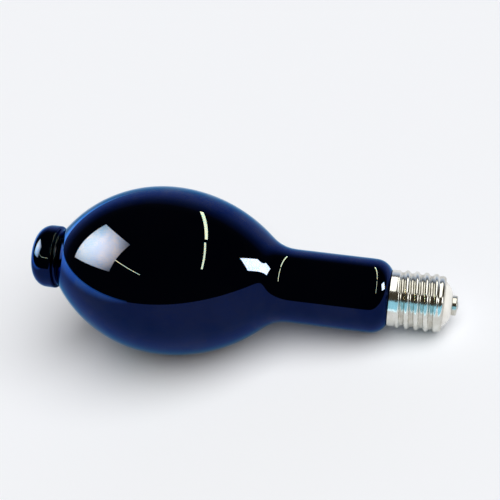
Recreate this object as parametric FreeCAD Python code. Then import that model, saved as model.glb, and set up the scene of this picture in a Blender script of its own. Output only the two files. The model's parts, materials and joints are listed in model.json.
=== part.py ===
import FreeCAD, Part
import math
import os
from FreeCAD import Vector

# Ultraviolet discharge lamp: bulged envelope of dark glass on a large screw cap, lying at rest on
# its bulge and on the end of its cap. Lengths are in mm. Positions run along the lamp from the
# tip of the cap to the tip of the nose.

overall_length = 294.0
bulge_diameter = 116.0
nose_side_radius = 92.0
neck_side_radius = 106.0
shoulder_radius = 25.0
neck_diameter = 50.0
neck_end_radius = 12.5
groove_diameter = 38.0
groove_radius = 1.4
nose_length = 19.5
nose_diameter = 43.5
nose_back_radius = 1.6
nose_corner_radius = 10.0
nose_dome_radius = 60.0
glass_wall = 1.0
spigot_length = 13.0
spigot_corner_radius = 4.0

rim_position = 45.5
shell_end_position = 9.5
sheet_thickness = 0.5
collar_diameter = 38.0
collar_length = 3.5
thread_diameter = 39.3
thread_depth = 1.8
thread_pitch = 6.35
thread_fade = 3.2
thread_start_angle = -165.0
curl_radius = 2.5
lip_diameter = 31.0
fit_clearance = 0.2

insulator_tip_position = 4.4
insulator_tip_diameter = 15.6
insulator_dome_radius = 14.0
insulator_flange_depth = 4.0
insulator_flange_corner = 1.2

contact_diameter = 13.4
contact_edge_radius = 0.9
shank_diameter = 5.2
shank_bore = 3.2
shank_length = 11.0
solder_height = 0.9
solder_diameter = 6.8
solder_plug_length = 4.0

bead_radius = 2.4
bead_height = 1.3
bead_inset = 1.0
bead_angle = -20.0
bead_clearance = 0.02

rows_per_pitch = 8
points_per_turn = 16
curl_rows = 6

bulge_r = bulge_diameter / 2
neck_r = neck_diameter / 2
nose_r = nose_diameter / 2
groove_r = groove_diameter / 2
collar_r = collar_diameter / 2
lip_r = lip_diameter / 2
pitch_r = (thread_diameter - thread_depth) / 2
root_r = thread_diameter / 2 - thread_depth
core_r = root_r - sheet_thickness - fit_clearance
mouth_r = collar_r - sheet_thickness - fit_clearance


def at(position, radius):
    return Vector(-position, 0, radius)


def leg(reach, offset):
    return math.sqrt(reach ** 2 - offset ** 2)


def arc(start, end, centre):
    # the shorter arc from start to end about centre
    middle = (start + end) * 0.5 - centre
    middle.normalize()
    return Part.Arc(start, centre + middle * (start - centre).Length, end)


def line(start, end):
    return Part.LineSegment(start, end)


def towards(centre, other, distance):
    step = other - centre
    step.normalize()
    return centre + step * distance


def turned(curves):
    # solid of revolution about the lamp's axis
    outline = Part.Wire([curve.toShape() for curve in curves])
    return Part.Face(outline).revolve(Vector(0, 0, 0), Vector(1, 0, 0), 360)


def cylinder(start, end, radius):
    return Part.makeCylinder(radius, end - start, at(start, 0), Vector(-1, 0, 0))


# glass envelope: arcs tangent to each other, about these centres, set out from the groove behind the nose
groove_level = groove_r + groove_radius
groove = at(overall_length - nose_length, groove_level)
nose_side_level = bulge_r - nose_side_radius
bulge_position = -groove.x - leg(nose_side_radius + groove_radius, groove_level - nose_side_level)
nose_side = at(bulge_position, nose_side_level)
neck_side = at(bulge_position, bulge_r - neck_side_radius)
shoulder_drop = neck_r + shoulder_radius - neck_side.z
shoulder = at(bulge_position - leg(neck_side_radius + shoulder_radius, shoulder_drop), neck_r + shoulder_radius)
neck_end_level = neck_r - neck_end_radius
neck_end = at(rim_position + leg(neck_end_radius, mouth_r - neck_end_level), neck_end_level)
nose_back_level = nose_r - nose_back_radius
nose_back = at(-groove.x + leg(nose_back_radius + groove_radius, nose_back_level - groove_level), nose_back_level)
dome = at(overall_length - nose_dome_radius, 0)
nose_corner_level = nose_r - nose_corner_radius
nose_corner = at(-dome.x + leg(nose_dome_radius - nose_corner_radius, nose_corner_level), nose_corner_level)
spigot_end_position = rim_position - spigot_length


def glass_body(inset):
    spigot_r = core_r - inset
    spigot_end = spigot_end_position + inset
    corner_radius = spigot_corner_radius - inset
    corner = at(spigot_end + corner_radius, spigot_r - corner_radius)
    throat = leg(neck_end_radius - inset, spigot_r - neck_end_level)
    stops = [
        at(spigot_end, 0),
        at(spigot_end, spigot_r - corner_radius),
        at(spigot_end + corner_radius, spigot_r),
        at(-neck_end.x - throat, spigot_r),
        at(-neck_end.x, neck_r - inset),
        at(-shoulder.x, neck_r - inset),
        towards(shoulder, neck_side, shoulder_radius + inset),
        at(bulge_position, bulge_r - inset),
        towards(nose_side, groove, nose_side_radius - inset),
        towards(nose_back, groove, nose_back_radius - inset),
        at(-nose_back.x, nose_r - inset),
        at(-nose_corner.x, nose_r - inset),
        towards(dome, nose_corner, nose_dome_radius - inset),
        at(overall_length - inset, 0),
    ]
    centres = [None, corner, None, neck_end, None, shoulder, neck_side, nose_side, groove, nose_back]
    centres += [None, nose_corner, dome]
    curves = []
    for start, end, centre in zip(stops, stops[1:], centres):
        curves.append(arc(start, end, centre) if centre else line(start, end))
    curves.append(line(stops[-1], stops[0]))
    return turned(curves)


# screw shell: sections across the axis, each a closed curve that the thread makes slightly eccentric
curl_position = shell_end_position + curl_radius
crest_radius = (thread_pitch ** 2 / 4 + thread_depth ** 2) / (4 * thread_depth)


def thread_wave(offset):
    # height over the pitch line at an axial distance from a crest: equal arcs at crest and root
    away = abs((offset / thread_pitch + 0.5) % 1 - 0.5) * thread_pitch
    if away <= thread_pitch / 4:
        return leg(crest_radius, away) + thread_depth / 2 - crest_radius
    return crest_radius - thread_depth / 2 - leg(crest_radius, thread_pitch / 2 - away)


def blend(distance, length):
    share = min(max(distance / length, 0), 1)
    return share * share * (3 - 2 * share)


def shell_radius(position, angle):
    from_collar = blend(rim_position - collar_length - position, thread_fade)
    from_curl = blend(position - curl_position, thread_fade)
    level = collar_r + (pitch_r - collar_r) * from_collar
    turn = (angle - thread_start_angle) / 360
    return level + from_collar * from_curl * thread_wave(position - rim_position + turn * thread_pitch)


def shell_ring(position, radius_at):
    points = []
    for step in range(points_per_turn):
        angle = 360 * step / points_per_turn
        radius = radius_at(angle)
        across = radius * math.cos(math.radians(angle))
        up = radius * math.sin(math.radians(angle))
        points.append(Vector(-position, across, up))
    ring = Part.BSplineCurve()
    ring.interpolate(Points=points, PeriodicFlag=True, Parameters=list(range(points_per_turn + 1)))
    return Part.Wire(ring.toShape())


def shell_body(inset, overrun):
    rows = math.ceil((rim_position - curl_position) / thread_pitch * rows_per_pitch)
    rings = []
    if overrun:
        rings.append(shell_ring(rim_position + overrun, lambda angle: collar_r - inset))
    for row in range(rows + 1):
        position = rim_position + (curl_position - rim_position) * row / rows
        rings.append(shell_ring(position, lambda angle: shell_radius(position, angle) - inset))
    for row in range(1, curl_rows + 1):
        bend = math.pi / 2 * row / curl_rows
        position = curl_position - (curl_radius - inset) * math.sin(bend)
        radius = pitch_r - curl_radius + (curl_radius - inset) * math.cos(bend)
        rings.append(shell_ring(position, lambda angle: radius))
    return Part.makeLoft(rings, True, True)


# white body that closes the end of the shell
def insulator_body():
    hole_r = shank_diameter / 2 + fit_clearance
    neck = lip_r - fit_clearance
    seat = shell_end_position + sheet_thickness
    flange_end = seat + insulator_flange_depth
    tip = at(insulator_tip_position, insulator_tip_diameter / 2)
    dome_end = at(shell_end_position, neck)
    half = (dome_end - tip).Length / 2
    across = (dome_end - tip).cross(Vector(0, 1, 0))
    across.normalize()
    dome_centre = (tip + dome_end) * 0.5 + across * leg(insulator_dome_radius, half)
    corner = at(seat + insulator_flange_corner, core_r - insulator_flange_corner)
    stops = [
        at(insulator_tip_position, hole_r),
        tip,
        dome_end,
        at(seat, neck),
        at(seat, core_r - insulator_flange_corner),
        at(seat + insulator_flange_corner, core_r),
        at(flange_end, core_r),
        at(flange_end, hole_r),
    ]
    centres = [None, dome_centre, None, None, corner, None, None]
    curves = []
    for start, end, centre in zip(stops, stops[1:], centres):
        curves.append(arc(start, end, centre) if centre else line(start, end))
    curves.append(line(stops[-1], stops[0]))
    return turned(curves)


# button at the end of the cap, with a hollow shank through the insulator
def contact_body():
    head_r = contact_diameter / 2
    bore_r = shank_bore / 2
    edge = at(solder_height + contact_edge_radius, head_r - contact_edge_radius)
    face = at(solder_height, head_r - contact_edge_radius)
    side = at(solder_height + contact_edge_radius, head_r)
    curves = [
        line(at(solder_height, bore_r), face),
        arc(face, side, edge),
        line(side, at(insulator_tip_position, head_r)),
        line(at(insulator_tip_position, head_r), at(insulator_tip_position, shank_diameter / 2)),
        line(at(insulator_tip_position, shank_diameter / 2), at(shank_length, shank_diameter / 2)),
        line(at(shank_length, shank_diameter / 2), at(shank_length, bore_r)),
        line(at(shank_length, bore_r), at(solder_height, bore_r)),
    ]
    return turned(curves)


# low drop of solder on the button, with the plug that fills its bore
def solder_body():
    spread = solder_diameter / 2
    sphere_r = (spread ** 2 + solder_height ** 2) / (2 * solder_height)
    tip = at(0, 0)
    brim = at(solder_height, spread)
    plug_r = shank_bore / 2
    plug_end = solder_height + solder_plug_length
    curves = [
        arc(tip, brim, at(sphere_r, 0)),
        line(brim, at(solder_height, plug_r)),
        line(at(solder_height, plug_r), at(plug_end, plug_r)),
        line(at(plug_end, plug_r), at(plug_end, 0)),
        line(at(plug_end, 0), tip),
    ]
    return turned(curves)


glass_envelope = glass_body(0).cut(glass_body(glass_wall))
shell_outside = shell_body(0, 0)
shell_inside = shell_body(sheet_thickness, collar_length)
lip_hole = cylinder(0, curl_position, lip_r)
screw_shell = shell_outside.cut(shell_inside).cut(lip_hole)
cap_insulator = insulator_body()
centre_contact = contact_body()
contact_solder = solder_body()

# drop of solder that bridges the rim of the shell and the glass
bead_level = collar_r + bead_height - bead_radius
bead_across = bead_level * math.cos(math.radians(bead_angle))
bead_up = bead_level * math.sin(math.radians(bead_angle))
bead = Part.makeSphere(bead_radius, Vector(-(rim_position - bead_inset), bead_across, bead_up))
thread_space = cylinder(0, rim_position - collar_length, thread_diameter / 2)
rim_solder = bead.cut(cylinder(0, rim_position, collar_r + bead_clearance)).cut(thread_space).cut(glass_body(0))

# the lamp tips towards its cap until the rolled end of the shell or a crest of the thread meets the floor
def rest_angle(position, level, rounding):
    # tilt at which a round of the cap about this centre and the bulge touch the floor together
    run = bulge_position - position
    rise = level - neck_side.z
    reach = math.hypot(run, rise)
    return math.degrees(math.asin((neck_side_radius - rounding) / reach) - math.atan2(rise, run))


underside = 270
thread_rows = range(math.ceil(curl_position), math.floor(rim_position))
crest_tilts = [rest_angle(row, shell_radius(row, underside), 0) for row in thread_rows]
curl_tilt = rest_angle(curl_position, pitch_r - curl_radius, curl_radius)
tilt = min(crest_tilts + [curl_tilt])

nodes = {
    "glass_envelope": glass_envelope,
    "screw_shell": screw_shell,
    "cap_insulator": cap_insulator,
    "centre_contact": centre_contact,
    "contact_solder": contact_solder,
    "rim_solder": rim_solder,
}
for shape in nodes.values():
    shape.rotate(Vector(0, 0, 0), Vector(0, 1, 0), tilt)
bounds = Part.makeCompound(list(nodes.values())).optimalBoundingBox(False)
foot = Vector((bounds.XMin + bounds.XMax) / 2, (bounds.YMin + bounds.YMax) / 2, bounds.ZMin)
os.makedirs("parts", exist_ok=True)
for name, shape in nodes.items():
    shape.translate(foot * -1)
    shape.exportStep("parts/" + name + ".step")
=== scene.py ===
import json
import math

import bmesh
import bpy
from mathutils import Euler, Matrix, Quaternion, Vector, noise


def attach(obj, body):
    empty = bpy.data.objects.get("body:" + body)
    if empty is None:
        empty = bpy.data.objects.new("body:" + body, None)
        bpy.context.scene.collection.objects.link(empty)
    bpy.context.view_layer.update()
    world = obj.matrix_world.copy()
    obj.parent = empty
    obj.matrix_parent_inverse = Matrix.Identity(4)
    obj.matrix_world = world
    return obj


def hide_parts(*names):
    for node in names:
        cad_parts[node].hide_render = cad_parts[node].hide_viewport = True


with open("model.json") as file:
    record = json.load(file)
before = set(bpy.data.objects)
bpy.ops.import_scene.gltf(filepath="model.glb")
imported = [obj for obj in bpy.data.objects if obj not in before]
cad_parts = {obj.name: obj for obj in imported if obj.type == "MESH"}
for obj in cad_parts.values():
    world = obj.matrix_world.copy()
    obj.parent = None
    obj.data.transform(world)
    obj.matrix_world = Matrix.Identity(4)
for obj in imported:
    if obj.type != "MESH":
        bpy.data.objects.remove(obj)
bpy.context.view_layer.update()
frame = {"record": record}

mm = 0.001
weldMm = 0.002  # points nearer than this are one point

# the lamp is drawn along X with the tip of its cap at the origin and its nose towards -X,
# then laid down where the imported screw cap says
screwCap = frame["record"]["mounts"][0]
rim = 45.5  # from the tip of the cap, in mm
lampAxis = Vector(screwCap["axis"]).normalized()
lampTip = Vector(screwCap["pos_m"]) + lampAxis * rim * mm
lampUp = lampAxis.cross(Vector((0, 1, 0)))
lampTurn = Matrix((lampAxis, Vector((0, 1, 0)), lampUp)).transposed()
layDown = Matrix.Translation(lampTip) @ lampTurn.to_4x4()


def leg(reach, offset):
    return math.sqrt(reach ** 2 - offset ** 2)


def onProfile(position, radius):
    return Vector((-position * mm, 0, radius * mm))


def newPoint(drawn):
    return [part for part in drawn["geom_last"] if isinstance(part, bmesh.types.BMVert)][0]


def startProfile(bm, position, radius):
    return bm.verts.new(onProfile(position, radius))


def straightTo(bm, start, position, radius, steps):
    step = (onProfile(position, radius) - start.co) / steps
    return newPoint(bmesh.ops.spin(bm, geom=[start], axis=(0, 1, 0), dvec=step, angle=0, steps=steps))


def roundTo(bm, start, centre, end, steps):
    # turns the last point of a profile about an arc's centre until it points at the end
    middle = onProfile(*centre)
    fromArm = start.co - middle
    toArm = onProfile(*end) - middle
    turn = math.atan2(fromArm.z * toArm.x - fromArm.x * toArm.z, fromArm.x * toArm.x + fromArm.z * toArm.z)
    return newPoint(bmesh.ops.spin(bm, geom=[start], cent=middle, axis=(0, 1, 0), angle=turn, steps=steps))


def turnProfile(bm, steps):
    bmesh.ops.spin(bm, geom=bm.verts[:] + bm.edges[:], cent=(0, 0, 0), axis=(1, 0, 0),
                   angle=2 * math.pi, steps=steps, use_merge=True)
    bmesh.ops.remove_doubles(bm, verts=bm.verts[:], dist=weldMm * mm)
    bmesh.ops.recalc_face_normals(bm, faces=bm.faces[:])


def finishPiece(bm, name, material, node):
    bm.transform(layDown)
    mesh = bpy.data.meshes.new(name)
    bm.to_mesh(mesh)
    bm.free()
    mesh.shade_smooth()
    mesh.materials.append(material)
    piece = bpy.data.objects.new(name, mesh)
    bpy.context.scene.collection.objects.link(piece)
    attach(piece, "root")
    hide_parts(node)
    print("piece", name, len(mesh.polygons), "faces")
    return piece


def softenEdges(piece, width):
    edge = piece.modifiers.new("softEdge", "BEVEL")
    edge.width = width * mm
    edge.segments = 2
    edge.limit_method = "ANGLE"
    edge.angle_limit = math.radians(40)


def linear(hexColour):
    channels = [int(hexColour[i:i + 2], 16) / 255 for i in (1, 3, 5)]
    return [c / 12.92 if c <= 0.04045 else ((c + 0.055) / 1.055) ** 2.4 for c in channels] + [1]


def addNode(tree, kind, settings=None, links=None, stops=None):
    node = tree.nodes.new(kind)
    for key, value in (settings or {}).items():
        if isinstance(key, str) and hasattr(node, key):
            setattr(node, key, value)
        else:
            node.inputs[key].default_value = value
    for key, source in (links or {}).items():
        tree.links.new(source, node.inputs[key])
    for index, (position, colour) in enumerate(stops or []):
        ramp = node.color_ramp.elements
        stop = ramp[index] if index < len(ramp) else ramp.new(position)
        stop.position, stop.color = position, colour
    return node


def newMaterial(name, settings):
    material = bpy.data.materials.new(name)
    material.use_nodes = True
    tree = material.node_tree
    shader = tree.nodes["Principled BSDF"]
    for key, value in settings.items():
        shader.inputs[key].default_value = value
    return material, tree, shader


def lampPlace(tree):
    # object coordinates turned so that X runs along the lamp from its tip and Y and Z lie across it
    coords = addNode(tree, "ShaderNodeTexCoord")
    back = layDown.inverted()
    turn = addNode(tree, "ShaderNodeMapping", {"vector_type": "POINT", "Location": back.to_translation(),
                                               "Rotation": back.to_euler()},
                   {"Vector": coords.outputs["Object"]})
    return turn.outputs["Vector"]


glassLook = {
    "thick": "#02123b", "thin": "#031746",
    "edge": "#8cc8ff",  # tint of grazing reflections
    "skin": 0.04,  # weight of the clear gloss
    "smooth": 0.01, "hazy": 0.022, "hazeMm": 36,
    "waveMm": 34, "waveDepthMm": 0.05,
}


def makeFilterGlass(look):
    # blown cobalt and nickel filter glass, fire polished and too dense to see into: a blue-black mirror.
    # What it mirrors takes the colour of the glass, as on a metal, so it starts from a dark blue metal
    # under a thin clear gloss; slow waves left from blowing bend the reflections a little
    material, tree, shader = newMaterial("blownFilterGlass", {
        "Metallic": 1, "Specular Tint": linear(look["edge"]),
        "Coat Weight": look["skin"], "Coat Roughness": look["smooth"],
    })
    place = lampPlace(tree)
    haze = addNode(tree, "ShaderNodeTexNoise",
                   {"Scale": 1 / (look["hazeMm"] * mm), "Detail": 4, "Roughness": 0.6}, {"Vector": place})
    wiped = addNode(tree, "ShaderNodeMapRange",
                    {"From Min": 0.3, "From Max": 0.75, "To Min": look["smooth"], "To Max": look["hazy"]},
                    {"Value": haze.outputs["Fac"]})
    depth = addNode(tree, "ShaderNodeValToRGB", links={"Fac": haze.outputs["Fac"]},
                    stops=[(0.3, linear(look["thick"])), (0.7, linear(look["thin"]))])
    wave = addNode(tree, "ShaderNodeTexNoise",
                   {"Scale": 1 / (look["waveMm"] * mm), "Detail": 1}, {"Vector": place})
    ripple = addNode(tree, "ShaderNodeBump", {"Strength": 0.25, "Distance": look["waveDepthMm"] * mm},
                     {"Height": wave.outputs["Fac"]})
    tree.links.new(depth.outputs["Color"], shader.inputs["Base Color"])
    tree.links.new(wiped.outputs["Result"], shader.inputs["Roughness"])
    tree.links.new(ripple.outputs["Normal"], shader.inputs["Normal"])
    return material


# radii and lengths in mm, positions from the tip of the cap
envelopeForm = {
    "length": 294, "bulge": 58, "noseSide": 92, "neckSide": 106, "shoulder": 25,
    "neck": 25, "neckEnd": 12.5, "mouth": 18.3, "spigot": 17.15, "spigotEnd": 32.5,
    "groove": 19, "grooveRound": 1.4, "noseLength": 19.5, "nose": 21.75, "noseBack": 1.6,
    "noseCorner": 10, "noseDome": 60,
    "around": 192, "easing": 6, "easeGap": 4.2,
}


def buildEnvelope(form, material):
    groove = (form["length"] - form["noseLength"], form["groove"] + form["grooveRound"])
    noseLevel = form["bulge"] - form["noseSide"]
    bulgeAt = groove[0] - leg(form["noseSide"] + form["grooveRound"], groove[1] - noseLevel)
    noseSide = (bulgeAt, noseLevel)
    neckSide = (bulgeAt, form["bulge"] - form["neckSide"])
    shoulderLevel = form["neck"] + form["shoulder"]
    toShoulder = leg(form["neckSide"] + form["shoulder"], shoulderLevel - neckSide[1])
    shoulder = (bulgeAt - toShoulder, shoulderLevel)
    neckEndLevel = form["neck"] - form["neckEnd"]
    neckEnd = (rim + leg(form["neckEnd"], form["mouth"] - neckEndLevel), neckEndLevel)
    throat = neckEnd[0] - leg(form["neckEnd"], form["spigot"] - neckEndLevel)
    backLevel = form["nose"] - form["noseBack"]
    noseBack = (groove[0] + leg(form["noseBack"] + form["grooveRound"], backLevel - groove[1]), backLevel)
    dome = (form["length"] - form["noseDome"], 0)
    cornerLevel = form["nose"] - form["noseCorner"]
    noseCorner = (dome[0] + leg(form["noseDome"] - form["noseCorner"], cornerLevel), cornerLevel)
    cornerEnd = Vector(dome) + (Vector(noseCorner) - Vector(dome)).normalized() * form["noseDome"]

    bm = bmesh.new()
    end = startProfile(bm, form["spigotEnd"], 0)
    end = straightTo(bm, end, form["spigotEnd"], form["spigot"], steps=4)
    end = straightTo(bm, end, throat, form["spigot"], steps=5)
    end = roundTo(bm, end, neckEnd, (neckEnd[0], form["neck"]), steps=16)
    end = straightTo(bm, end, shoulder[0], form["neck"], steps=25)
    end = roundTo(bm, end, shoulder, neckSide, steps=16)
    end = roundTo(bm, end, neckSide, (bulgeAt, form["bulge"]), steps=44)
    end = roundTo(bm, end, noseSide, groove, steps=50)
    end = roundTo(bm, end, groove, noseBack, steps=12)
    end = roundTo(bm, end, noseBack, (noseBack[0], form["nose"]), steps=10)
    end = straightTo(bm, end, noseCorner[0], form["nose"], steps=5)
    end = roundTo(bm, end, noseCorner, cornerEnd, steps=14)
    roundTo(bm, end, dome, (form["length"], 0), steps=10)
    # blown glass has no sudden change of bend, so the joints between the large arcs are eased
    eased = [v for v in bm.verts if rim * mm < -v.co.x < (groove[0] - form["easeGap"]) * mm]
    for step in range(form["easing"]):
        bmesh.ops.smooth_vert(bm, verts=eased, factor=0.5, use_axis_x=True, use_axis_z=True)
    turnProfile(bm, form["around"])
    return finishPiece(bm, "glass_envelope_blown", material, "glass_envelope")


plateLook = {
    # the root colour is painted shade: a brown laid into the roots of the thread
    "bright": "#e3e3de", "dull": "#c3c1b6", "root": "#857a63",
    "rootMm": 17.9, "crestMm": 18.9,  # radii between which the painted root shade fades
    "paintedRootShade": 0.75, "stainMm": 6,
    "polished": 0.1, "rubbed": 0.22,
    "markMm": 0.35, "markRunMm": 11.1, "markDepthMm": 0.02,
}


def makeNickelPlate(look):
    # bright nickel on rolled brass: mirror-like, with fine marks that run round from the rolling,
    # and painted shade, a little brown and broken up by stains, in the roots of the thread
    material, tree, shader = newMaterial("rolledNickelPlate", {"Metallic": 1})
    place = lampPlace(tree)
    parts = addNode(tree, "ShaderNodeSeparateXYZ", links={"Vector": place})
    across = addNode(tree, "ShaderNodeCombineXYZ", links={"Y": parts.outputs["Y"], "Z": parts.outputs["Z"]})
    radius = addNode(tree, "ShaderNodeVectorMath", {"operation": "LENGTH"}, {0: across.outputs["Vector"]})
    alongRun = 1 / (look["markRunMm"] * mm)
    drawn = addNode(tree, "ShaderNodeMapping",
                    {"vector_type": "POINT", "Scale": (1 / (look["markMm"] * mm), alongRun, alongRun)},
                    {"Vector": place})
    marks = addNode(tree, "ShaderNodeTexNoise", {"Scale": 1, "Detail": 3},
                    {"Vector": drawn.outputs["Vector"]})
    stain = addNode(tree, "ShaderNodeTexNoise",
                    {"Scale": 1 / (look["stainMm"] * mm), "Detail": 5, "Roughness": 0.6}, {"Vector": place})
    # painted shade: towards the roots of the thread the colour is pulled to the brown root colour, broken
    # up by the stain noise
    depth = addNode(tree, "ShaderNodeMapRange",
                    {"From Min": look["rootMm"] * mm, "From Max": look["crestMm"] * mm,
                     "To Min": look["paintedRootShade"], "To Max": 0},
                    {"Value": radius.outputs["Value"]})
    paintedRootShade = addNode(tree, "ShaderNodeMath", {"operation": "MULTIPLY"},
                      {0: depth.outputs["Result"], 1: stain.outputs["Fac"]})
    plain = addNode(tree, "ShaderNodeValToRGB", links={"Fac": stain.outputs["Fac"]},
                    stops=[(0.3, linear(look["bright"])), (0.8, linear(look["dull"]))])
    colour = addNode(tree, "ShaderNodeMix", {"data_type": "RGBA", 7: linear(look["root"])},
                     {0: paintedRootShade.outputs["Value"], 6: plain.outputs["Color"]})
    rubbed = addNode(tree, "ShaderNodeMapRange",
                     {"From Min": 0.25, "From Max": 0.8,
                      "To Min": look["polished"], "To Max": look["rubbed"]},
                     {"Value": marks.outputs["Fac"]})
    bump = addNode(tree, "ShaderNodeBump", {"Strength": 0.12, "Distance": look["markDepthMm"] * mm},
                   {"Height": marks.outputs["Fac"]})
    tree.links.new(colour.outputs[2], shader.inputs["Base Color"])
    tree.links.new(rubbed.outputs["Result"], shader.inputs["Roughness"])
    tree.links.new(bump.outputs["Normal"], shader.inputs["Normal"])
    return material


shellForm = {
    "shellEnd": 9.5, "sheet": 0.5, "collar": 19, "collarLength": 3.5, "crest": 19.65, "depth": 1.8,
    "pitch": 6.35, "fade": 3.2, "startAngle": -165, "curl": 2.5, "lip": 15.5, "edge": 0.12,
    "rows": 119, "around": 168,
}


def threadWave(form, offset):
    # equal arcs at crest and root, as on a rolled screw shell
    crestRound = (form["pitch"] ** 2 / 4 + form["depth"] ** 2) / (4 * form["depth"])
    away = abs((offset / form["pitch"] + 0.5) % 1 - 0.5) * form["pitch"]
    if away <= form["pitch"] / 4:
        return leg(crestRound, away) + form["depth"] / 2 - crestRound
    return crestRound - form["depth"] / 2 - leg(crestRound, form["pitch"] / 2 - away)


def easeIn(distance, length):
    share = min(max(distance / length, 0), 1)
    return share * share * (3 - 2 * share)


def shellRadius(form, position, angle):
    pitchLine = form["crest"] - form["depth"] / 2
    fromCollar = easeIn(rim - form["collarLength"] - position, form["fade"])
    fromCurl = easeIn(position - form["shellEnd"] - form["curl"], form["fade"])
    level = form["collar"] + (pitchLine - form["collar"]) * fromCollar
    turn = (angle - form["startAngle"]) / 360
    return level + fromCollar * fromCurl * threadWave(form, position - rim + turn * form["pitch"])


def buildShell(form, material):
    pitchLine = form["crest"] - form["depth"] / 2
    curlAt = form["shellEnd"] + form["curl"]
    bm = bmesh.new()
    end = startProfile(bm, rim, form["collar"])
    end = straightTo(bm, end, curlAt, pitchLine, form["rows"])
    curl = (curlAt, pitchLine - form["curl"])
    end = roundTo(bm, end, curl, (form["shellEnd"], curl[1]), steps=10)
    straightTo(bm, end, form["shellEnd"], form["lip"], steps=2)
    turnProfile(bm, form["around"])
    for vert in bm.verts:  # the thread is pressed into the turned blank
        position = -vert.co.x / mm
        if position >= curlAt:
            radius = shellRadius(form, position, math.degrees(math.atan2(vert.co.z, vert.co.y)))
            vert.co.yz = vert.co.yz.normalized() * radius * mm
    bmesh.ops.recalc_face_normals(bm, faces=bm.faces[:])
    outward = sum(face.normal.yz.dot(face.calc_center_median().yz) for face in bm.faces)
    if outward < 0:
        bmesh.ops.reverse_faces(bm, faces=bm.faces[:])
    piece = finishPiece(bm, "screw_shell_rolled", material, "screw_shell")
    wall = piece.modifiers.new("sheet", "SOLIDIFY")
    wall.thickness = form["sheet"] * mm
    wall.offset = -1
    softenEdges(piece, form["edge"])
    return piece


insulatorLook = {
    "white": "#eeede8", "shade": "#e0ded6", "cloudMm": 4,
    "glossy": 0.16, "dull": 0.3, "rippleMm": 0.06,
}


def makePressedGlass(look):
    # pressed white glass: glossy and slightly milky, with faint clouds and a soft ripple from the press
    material, tree, shader = newMaterial("pressedWhiteGlass", {
        "Metallic": 0, "IOR": 1.52, "Coat Weight": 0.3, "Coat Roughness": 0.08,
    })
    place = lampPlace(tree)
    cloud = addNode(tree, "ShaderNodeTexNoise",
                    {"Scale": 1 / (look["cloudMm"] * mm), "Detail": 5}, {"Vector": place})
    colour = addNode(tree, "ShaderNodeValToRGB", links={"Fac": cloud.outputs["Fac"]},
                     stops=[(0.35, linear(look["white"])), (0.8, linear(look["shade"]))])
    dull = addNode(tree, "ShaderNodeMapRange", {"To Min": look["glossy"], "To Max": look["dull"]},
                   {"Value": cloud.outputs["Fac"]})
    bump = addNode(tree, "ShaderNodeBump", {"Strength": 0.2, "Distance": look["rippleMm"] * mm},
                   {"Height": cloud.outputs["Fac"]})
    tree.links.new(colour.outputs["Color"], shader.inputs["Base Color"])
    tree.links.new(dull.outputs["Result"], shader.inputs["Roughness"])
    tree.links.new(bump.outputs["Normal"], shader.inputs["Normal"])
    return material


insulatorForm = {
    "tipAt": 4.4, "tip": 7.8, "domeRound": 14, "domeEnd": 9.5, "neck": 15.3,
    "seat": 10, "flange": 17.15, "back": 14, "edge": 0.4, "around": 96,
}


def buildInsulator(form, material):
    tip = Vector((form["tipAt"], form["tip"]))
    foot = Vector((form["domeEnd"], form["neck"]))
    chord = foot - tip
    inward = Vector((chord.y, -chord.x)).normalized()
    centre = (tip + foot) / 2 + inward * leg(form["domeRound"], chord.length / 2)
    bm = bmesh.new()
    end = startProfile(bm, form["tipAt"], 0)
    end = straightTo(bm, end, form["tipAt"], form["tip"], steps=4)
    end = roundTo(bm, end, centre, foot, steps=16)
    end = straightTo(bm, end, form["seat"], form["neck"], steps=3)
    end = straightTo(bm, end, form["seat"], form["flange"], steps=2)
    end = straightTo(bm, end, form["back"], form["flange"], steps=3)
    straightTo(bm, end, form["back"], 0, steps=3)
    turnProfile(bm, form["around"])
    piece = finishPiece(bm, "cap_insulator_pressed", material, "cap_insulator")
    softenEdges(piece, form["edge"])
    return piece


contactForm = {"face": 0.9, "radius": 6.7, "round": 0.9, "back": 4.4, "edge": 0.15, "around": 96}


def buildContact(form, material):
    bm = bmesh.new()
    end = startProfile(bm, form["face"], 0)
    roundCentre = (form["face"] + form["round"], form["radius"] - form["round"])
    end = straightTo(bm, end, form["face"], roundCentre[1], steps=7)
    end = roundTo(bm, end, roundCentre, (roundCentre[0], form["radius"]), steps=8)
    end = straightTo(bm, end, form["back"], form["radius"], steps=4)
    straightTo(bm, end, form["back"], 0, steps=3)
    turnProfile(bm, form["around"])
    piece = finishPiece(bm, "centre_contact_stamped", material, "centre_contact")
    softenEdges(piece, form["edge"])
    return piece


solderLook = {
    "tin": "#c3c4c4", "dross": "#8d8b86", "grainMm": 0.7,
    "bright": 0.22, "dull": 0.5, "skinMm": 0.05,
}


def makeSolder(look):
    # tin solder left as it set: grey and softly shiny, with a grainy skin and dull patches of flux
    material, tree, shader = newMaterial("setTinSolder", {"Metallic": 1})
    place = lampPlace(tree)
    grain = addNode(tree, "ShaderNodeTexNoise",
                    {"Scale": 1 / (look["grainMm"] * mm), "Detail": 5}, {"Vector": place})
    colour = addNode(tree, "ShaderNodeValToRGB", links={"Fac": grain.outputs["Fac"]},
                     stops=[(0.4, linear(look["tin"])), (0.75, linear(look["dross"]))])
    dull = addNode(tree, "ShaderNodeMapRange", {"To Min": look["bright"], "To Max": look["dull"]},
                   {"Value": grain.outputs["Fac"]})
    bump = addNode(tree, "ShaderNodeBump", {"Strength": 0.35, "Distance": look["skinMm"] * mm},
                   {"Height": grain.outputs["Fac"]})
    tree.links.new(colour.outputs["Color"], shader.inputs["Base Color"])
    tree.links.new(dull.outputs["Result"], shader.inputs["Roughness"])
    tree.links.new(bump.outputs["Normal"], shader.inputs["Normal"])
    return material


tipSolderForm = {"height": 0.9, "radius": 3.4, "sunk": 0.4, "lumpMm": 2.2, "lump": 0.1, "around": 64}


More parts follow.
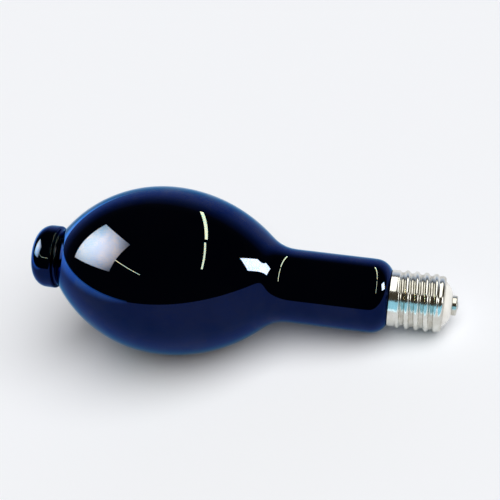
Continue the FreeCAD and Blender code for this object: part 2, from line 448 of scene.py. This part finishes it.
def buildTipSolder(form, material):
    ball = (form["radius"] ** 2 + form["height"] ** 2) / (2 * form["height"])
    bm = bmesh.new()
    end = startProfile(bm, 0, 0)
    end = roundTo(bm, end, (ball, 0), (form["height"], form["radius"]), steps=14)
    straightTo(bm, end, form["height"] + form["sunk"], 0, steps=4)
    turnProfile(bm, form["around"])
    for vert in bm.verts:  # a drop that set by itself is never quite round
        if -vert.co.x < form["height"] * mm:
            vert.co.yz *= 1 + form["lump"] * noise.noise(vert.co / (form["lumpMm"] * mm))
    return finishPiece(bm, "contact_solder_drop", material, "contact_solder")


rimSolderForm = {
    "radius": 2.4, "height": 1.3, "inset": 1, "collar": 19, "angle": -20,
    "lumpMm": 1.6, "lump": 0.09,
}


def buildRimSolder(form, material):
    bm = bmesh.new()
    bmesh.ops.create_icosphere(bm, subdivisions=4, radius=form["radius"] * mm)
    for vert in bm.verts:
        vert.co *= 1 + form["lump"] * (noise.noise(vert.co / (form["lumpMm"] * mm)) - 0.5)
    level = form["collar"] + form["height"] - form["radius"]
    turn = math.radians(form["angle"])
    place = Vector((form["inset"] - rim, level * math.cos(turn), level * math.sin(turn))) * mm
    bmesh.ops.translate(bm, verts=bm.verts[:], vec=place)
    return finishPiece(bm, "rim_solder_drop", material, "rim_solder")


filterGlass = makeFilterGlass(glassLook)
nickelPlate = makeNickelPlate(plateLook)
whiteGlass = makePressedGlass(insulatorLook)
tinSolder = makeSolder(solderLook)
print("materials made")

envelope = buildEnvelope(envelopeForm, filterGlass)
buildInsulator(insulatorForm, whiteGlass)
metalPieces = [
    buildShell(shellForm, nickelPlate),
    buildContact(contactForm, nickelPlate),
    buildTipSolder(tipSolderForm, tinSolder),
    buildRimSolder(rimSolderForm, tinSolder),
]
print("lamp built")


stageLook = {"floor": "#f1f4fa", "reach": 40}


def makeFloor(look):
    # matt background paper, rolled out: no gloss, only the soft shadow shows on it
    material = newMaterial("rolledStudioPaper", {
        "Base Color": linear(look["floor"]), "Roughness": 0.9, "Specular IOR Level": 0.1,
    })[0]
    bm = bmesh.new()
    bmesh.ops.create_grid(bm, x_segments=2, y_segments=2, size=look["reach"])
    mesh = bpy.data.meshes.new("studioFloor")
    bm.to_mesh(mesh)
    bm.free()
    mesh.materials.append(material)
    floor = bpy.data.objects.new("studioFloor", mesh)
    bpy.context.scene.collection.objects.link(floor)


# a dark studio with a pale back, which fades upwards and to the front
worldLook = {
    "lean": 45, "turn": 5, "low": -0.72, "high": 0.02,
    "fade": [
        (0, (0.88, 0.93, 1, 1)), (0.3, (0.6, 0.7, 0.9, 1)), (0.57, (0.22, 0.27, 0.36, 1)),
        (0.8, (0.09, 0.075, 0.05, 1)), (1, (0.06, 0.048, 0.032, 1)),
    ],
}


def makeWorld(look):
    world = bpy.data.worlds.new("studio")
    bpy.context.scene.world = world
    world.use_nodes = True
    tree = world.node_tree
    leaning = Vector((0, 0, 1))
    leaning.rotate(Euler((math.radians(look["lean"]), 0, math.radians(look["turn"]))))
    coords = addNode(tree, "ShaderNodeTexCoord")
    height = addNode(tree, "ShaderNodeVectorMath", {"operation": "DOT_PRODUCT", 1: leaning},
                     {0: coords.outputs["Generated"]})
    share = addNode(tree, "ShaderNodeMapRange", {"From Min": look["low"], "From Max": look["high"]},
                    {"Value": height.outputs["Value"]})
    fade = addNode(tree, "ShaderNodeValToRGB", links={"Fac": share.outputs["Result"]}, stops=look["fade"])
    tree.links.new(fade.outputs["Color"], tree.nodes["Background"].inputs["Color"])


makeFloor(stageLook)
makeWorld(worldLook)
print("studio set")

# boxes, strips and cards of a product shot, which show as reflections only: middle, direction of the
# long edge, length and width in metres, watts per square metre. The dark blue glass gives back little
# light and least of the red, so what it mirrors as white is strong and warm, and lights nothing else
glassLights = {
    "leftSoftbox": {
        "place": (-0.852, -0.128, 0.805), "edge": (0.487, -0.809, 0.329), "size": (0.88, 0.8),
        "power": 360, "colour": (1, 0.59, 0.18), "brightest": (0.35, 0.5, 0), "fadeOver": 1,
    },
    "leftStrip": {
        "place": (-0.516, -0.757, 0.893), "edge": (0.432, -0.405, -0.126), "size": (0.6, 0.012),
        "power": 428, "colour": (1, 0.58, 0.1),
    },
    "rightSoftbox": {
        "place": (1.15, 0.08, 0.41), "edge": (0, 0.7, -0.7), "size": (0.37, 0.35),
        "power": 500, "colour": (1, 0.59, 0.17),
    },
    "backStrip": {
        "place": (0.465, 0.59, 0.905), "edge": (0.39, -0.78, 0.33), "size": (0.93, 0.042),
        "power": 460, "colour": (1, 0.58, 0.1),
    },
    "frontStrip": {
        "place": (0.685, -0.28, 0.96), "edge": (0.03, -0.76, -0.24), "size": (0.8, 0.028),
        "power": 428, "colour": (1, 0.58, 0.1),
    },
    "noseCard": {
        "place": (-0.45, 0.05, 0.02), "aim": (-0.1, 0.05, 0.02), "edge": (0, 1, 0), "size": (1.6, 0.16),
        "power": 13.6, "colour": (0.25, 0.8, 1), "brightest": (0.45, 0, 0), "fadeOver": 0.625,
    },
}
capLights = {  # for the metal pieces alone
    "overheadBox": {
        "place": (0.3, 0.35, 1.1), "edge": (1, 0, 0), "size": (0.9, 1.5),
        "power": 6.4, "colour": (1, 1, 0.97),
    },
    "sideBox": {
        "place": (1.15, -0.3, 0.5), "edge": (0.3, 1, 0), "size": (0.4, 0.4),
        "power": 12, "colour": (1, 1, 0.97),
    },
    "frontCard": {
        "place": (0.1, -0.24, 0.075), "edge": (1, 0, 0), "size": (1.2, 0.2),
        "power": 3.2, "colour": (0.3, 0.74, 1),
    },
}


def makeSoftLight(name, look, aim, receivers):
    light = bpy.data.lights.new(name, "AREA")
    light.shape = "RECTANGLE"
    light.size, light.size_y = look["size"]
    light.energy = look["power"] * light.size * light.size_y
    light.color = look["colour"]
    lamp = bpy.data.objects.new(name, light)
    if "brightest" in look:  # fades away from here, in shares of its length and width
        light.use_nodes = True
        tree = light.node_tree
        surface = addNode(tree, "ShaderNodeNewGeometry")
        away = addNode(tree, "ShaderNodeVectorMath", {"operation": "DISTANCE", 1: look["brightest"]},
                       {0: surface.outputs["Parametric"]})
        fade = addNode(tree, "ShaderNodeMapRange",
                       {"interpolation_type": "SMOOTHSTEP", "From Max": look["fadeOver"],
                        "To Min": 1, "To Max": 0},
                       {"Value": away.outputs["Value"]})
        tree.links.new(fade.outputs["Result"], tree.nodes["Emission"].inputs["Strength"])
    place = Vector(look["place"])
    back = (place - Vector(look.get("aim", aim))).normalized()
    edge = Vector(look["edge"])
    edge = (edge - back * edge.dot(back)).normalized()
    turn = Matrix((edge, back.cross(edge), back)).transposed()
    lamp.matrix_world = Matrix.Translation(place) @ turn.to_4x4()
    lamp.visible_diffuse = False
    lamp.visible_camera = False
    bpy.context.scene.collection.objects.link(lamp)
    lamp.light_linking.receiver_collection = receivers


def receiverGroup(name, pieces):
    group = bpy.data.collections.new(name)
    for piece in pieces:
        group.objects.link(piece)
    return group


# even light from above that gives the floor and the white parts their brightness and the soft shadow
fillLook = {"from": (0.4, -0.2, 0.9), "spread": 70, "strength": 3.3, "colour": (1, 0.99, 0.97)}


def makeFill(look):
    light = bpy.data.lights.new("topFill", "SUN")
    light.energy = look["strength"]
    light.angle = math.radians(look["spread"])
    light.color = look["colour"]
    lamp = bpy.data.objects.new("topFill", light)
    lamp.rotation_mode = "QUATERNION"
    lamp.rotation_quaternion = Vector(look["from"]).to_track_quat("Z", "Y")
    lamp.visible_glossy = False
    bpy.context.scene.collection.objects.link(lamp)


glassReceivers = receiverGroup("glassReceivers", [envelope])
capReceivers = receiverGroup("capReceivers", metalPieces)
lampMiddle = Vector((0, 0, 0.07))
for name, look in glassLights.items():
    makeSoftLight(name, look, lampMiddle, glassReceivers)
for name, look in capLights.items():
    makeSoftLight(name, look, lampTip, capReceivers)
makeFill(fillLook)
print("lights set")

# the photograph's view of the lamp; the roll makes up for the tilt at which it rests here
cameraLook = {
    "place": (0.25024, -0.54293, 0.57821), "forward": (-0.30438, 0.69852, -0.64763), "roll": -18.33,
    "lens": 84.24, "sensor": 36,
}


def makeCamera(look):
    data = bpy.data.cameras.new("photoCamera")
    data.sensor_fit = "HORIZONTAL"
    data.sensor_width = look["sensor"]
    data.lens = look["lens"]
    camera = bpy.data.objects.new("photoCamera", data)
    camera.location = look["place"]
    camera.rotation_mode = "QUATERNION"
    level = Vector(look["forward"]).to_track_quat("-Z", "Y")
    camera.rotation_quaternion = level @ Quaternion((0, 0, 1), math.radians(look["roll"]))
    bpy.context.scene.collection.objects.link(camera)
    bpy.context.scene.camera = camera


makeCamera(cameraLook)
bpy.context.scene.view_settings.view_transform = "Standard"
print("camera set")
